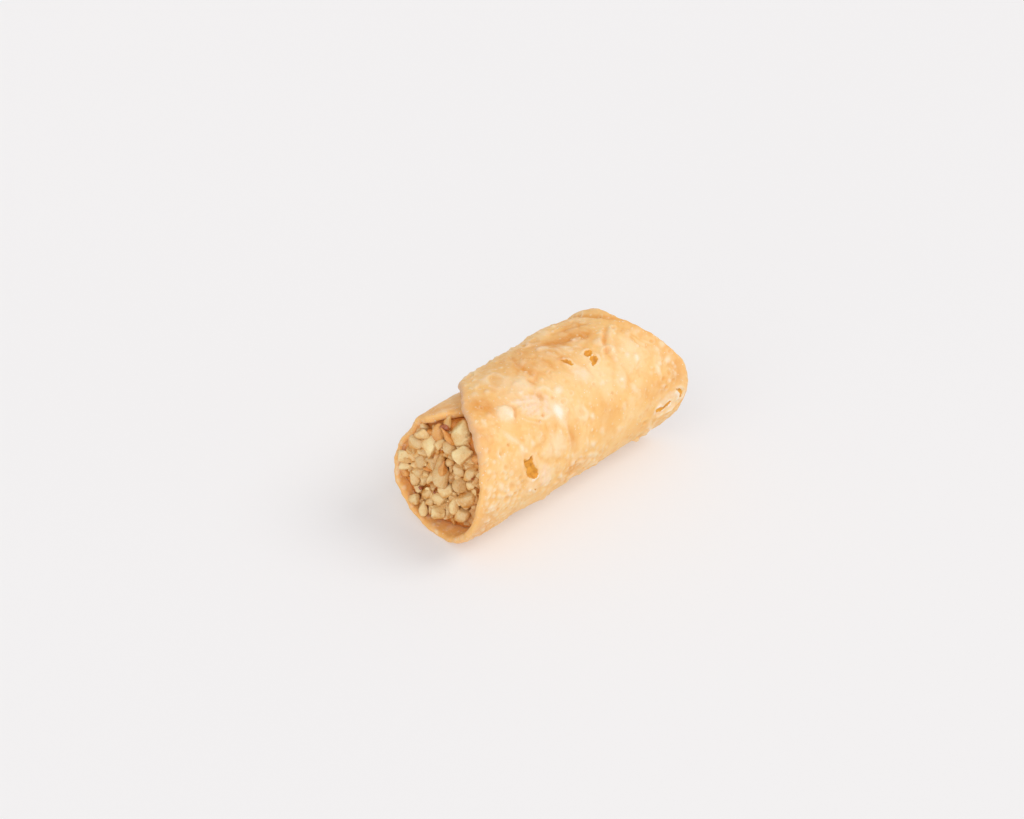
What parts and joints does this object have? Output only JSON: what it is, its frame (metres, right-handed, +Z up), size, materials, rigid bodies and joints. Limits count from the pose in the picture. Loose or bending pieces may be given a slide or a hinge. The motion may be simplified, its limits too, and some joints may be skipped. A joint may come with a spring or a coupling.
{
  "type": "cannoli",
  "caption": "Tube of blistered fried dough rolled round a sweet filling, its open ends pressed into chopped nuts, lying on its side.",
  "frame": {"origin": "under the middle of the whole, on the surface it rests on", "axes": "+X along the roll, away from the front mouth; +Z up; the sheet's outer flap comes up the -Y side and over the top"},
  "size_m": [0.0942, 0.0424, 0.0422],
  "materials": {
    "fried_dough": "fried dough, dry and matt with a faint oily sheen, pale blisters and darker pits",
    "nut_filling": "pale chopped nuts pressed into cream, matt with a slight oily sheen"
  },
  "bodies": {
    "root": {"shell": "fried_dough", "filling": "nut_filling"}
  },
  "joints": []
}
